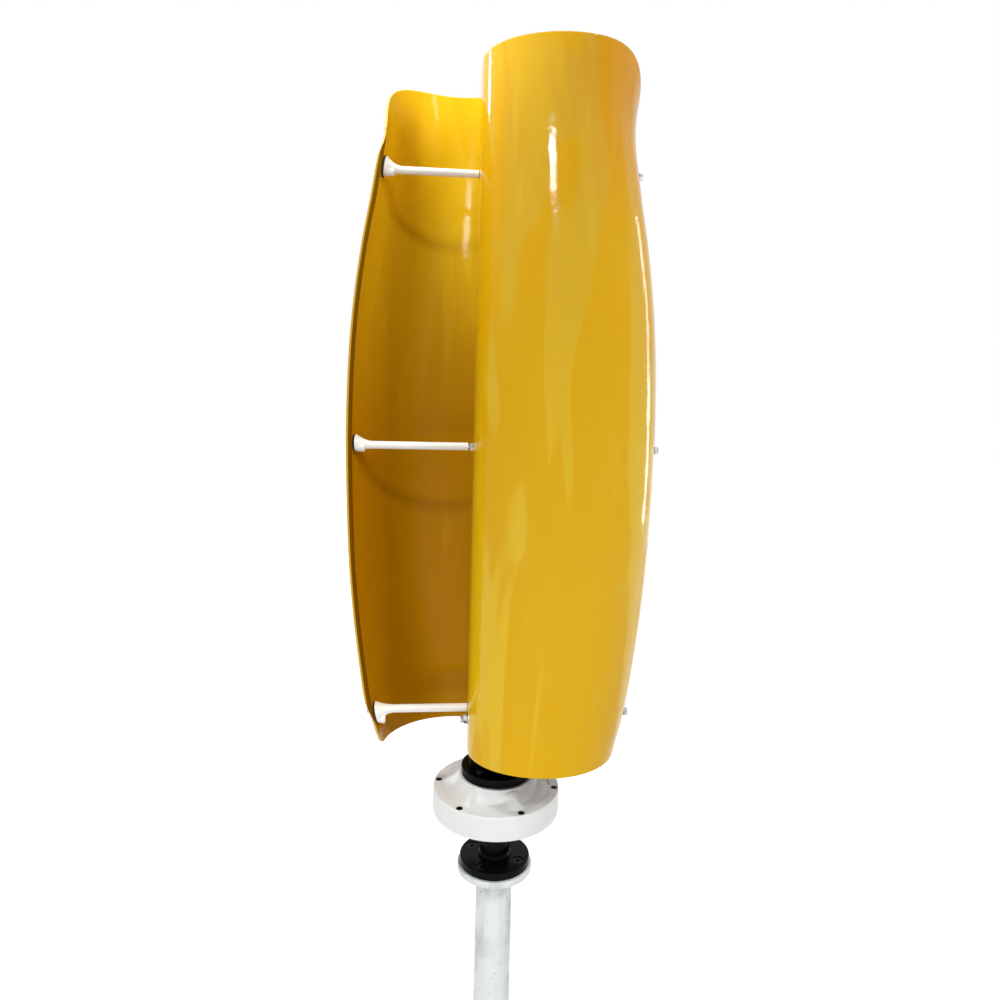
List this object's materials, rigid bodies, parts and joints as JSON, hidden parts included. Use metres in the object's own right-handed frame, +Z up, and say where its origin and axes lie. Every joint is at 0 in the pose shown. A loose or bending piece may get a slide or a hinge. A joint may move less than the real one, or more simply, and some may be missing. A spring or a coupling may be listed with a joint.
{
  "type": "vertical axis wind turbine",
  "caption": "Small vertical axis wind turbine: a bowed S-shaped scoop rotor tied with rods, on a disc generator with a flanged shaft bolted to a pipe mast stub.",
  "frame": {"origin": "centre of the mast stub's cut bottom end, on the rotor's axis", "axes": "+Z up along the rotor's axis, X along the rotor's chord at rest, -Y towards the side that shows the front blade's outer face"},
  "size_m": [0.4246, 0.2142, 1.2972],
  "materials": {
    "yellow_gelcoat": "glossy gelcoat on glass fibre laminate",
    "white_coat": "satin powder coat",
    "white_rod": "smooth satin moulding",
    "black_gloss": "gloss powder coat",
    "black_oxide": "black oxide on steel",
    "mast_coat": "thin pale coat, slightly mottled",
    "bolt_steel": "bare stainless",
    "bearing_steel": "ground",
    "rubber_pad": "matt",
    "core_steel": "dark laminated steel",
    "copper_coil": "varnished copper windings"
  },
  "bodies": {
    "mast": {"mast_tube": "mast_coat", "mast_flange": "mast_coat", "shaft_flange": "black_gloss", "stator_shaft": "black_gloss", "flange_screw_1": "black_oxide", "flange_screw_2": "black_oxide", "flange_screw_3": "black_oxide", "flange_screw_4": "black_oxide", "stator_core": "core_steel", "stator_coils": "copper_coil", "bearing_inner_lower": "bearing_steel", "bearing_inner_upper": "bearing_steel"},
    "rotor": {"blade_a": "yellow_gelcoat", "blade_b": "yellow_gelcoat", "casing_body": "white_coat", "casing_cover": "white_coat", "tie_rod_a1": "white_rod", "tie_rod_a2": "white_rod", "tie_rod_a3": "white_rod", "tie_rod_b1": "white_rod", "tie_rod_b2": "white_rod", "tie_rod_b3": "white_rod", "hub_disc": "black_gloss", "center_post": "black_gloss", "cover_screw_1": "black_oxide", "cover_screw_2": "black_oxide", "cover_screw_3": "black_oxide", "cover_screw_4": "black_oxide", "cover_screw_5": "black_oxide", "cover_screw_6": "black_oxide", "hub_screw_1": "black_oxide", "hub_screw_2": "black_oxide", "hub_screw_3": "black_oxide", "hub_screw_4": "black_oxide", "rod_bolt_a1": "bolt_steel", "rod_bolt_a2": "bolt_steel", "rod_bolt_a3": "bolt_steel", "rod_bolt_b1": "bolt_steel", "rod_bolt_b2": "bolt_steel", "rod_bolt_b3": "bolt_steel", "tie_stud_a1": "bolt_steel", "tie_stud_a2": "bolt_steel", "tie_stud_a3": "bolt_steel", "tie_stud_b1": "bolt_steel", "tie_stud_b2": "bolt_steel", "tie_stud_b3": "bolt_steel", "post_bolt_a": "bolt_steel", "post_bolt_b": "bolt_steel", "bearing_outer_lower": "bearing_steel", "bearing_outer_upper": "bearing_steel", "rod_pad_a1": "rubber_pad", "rod_pad_a2": "rubber_pad", "rod_pad_a3": "rubber_pad", "rod_pad_b1": "rubber_pad", "rod_pad_b2": "rubber_pad", "rod_pad_b3": "rubber_pad", "magnet_ring": "core_steel"}
  },
  "joints": [
    {"name": "rotor_spin", "type": "hinge", "parent": "mast", "child": "rotor", "pos_m": [0, 0, 0.3], "axis": [0, 0, 1], "continuous": true}
  ]
}
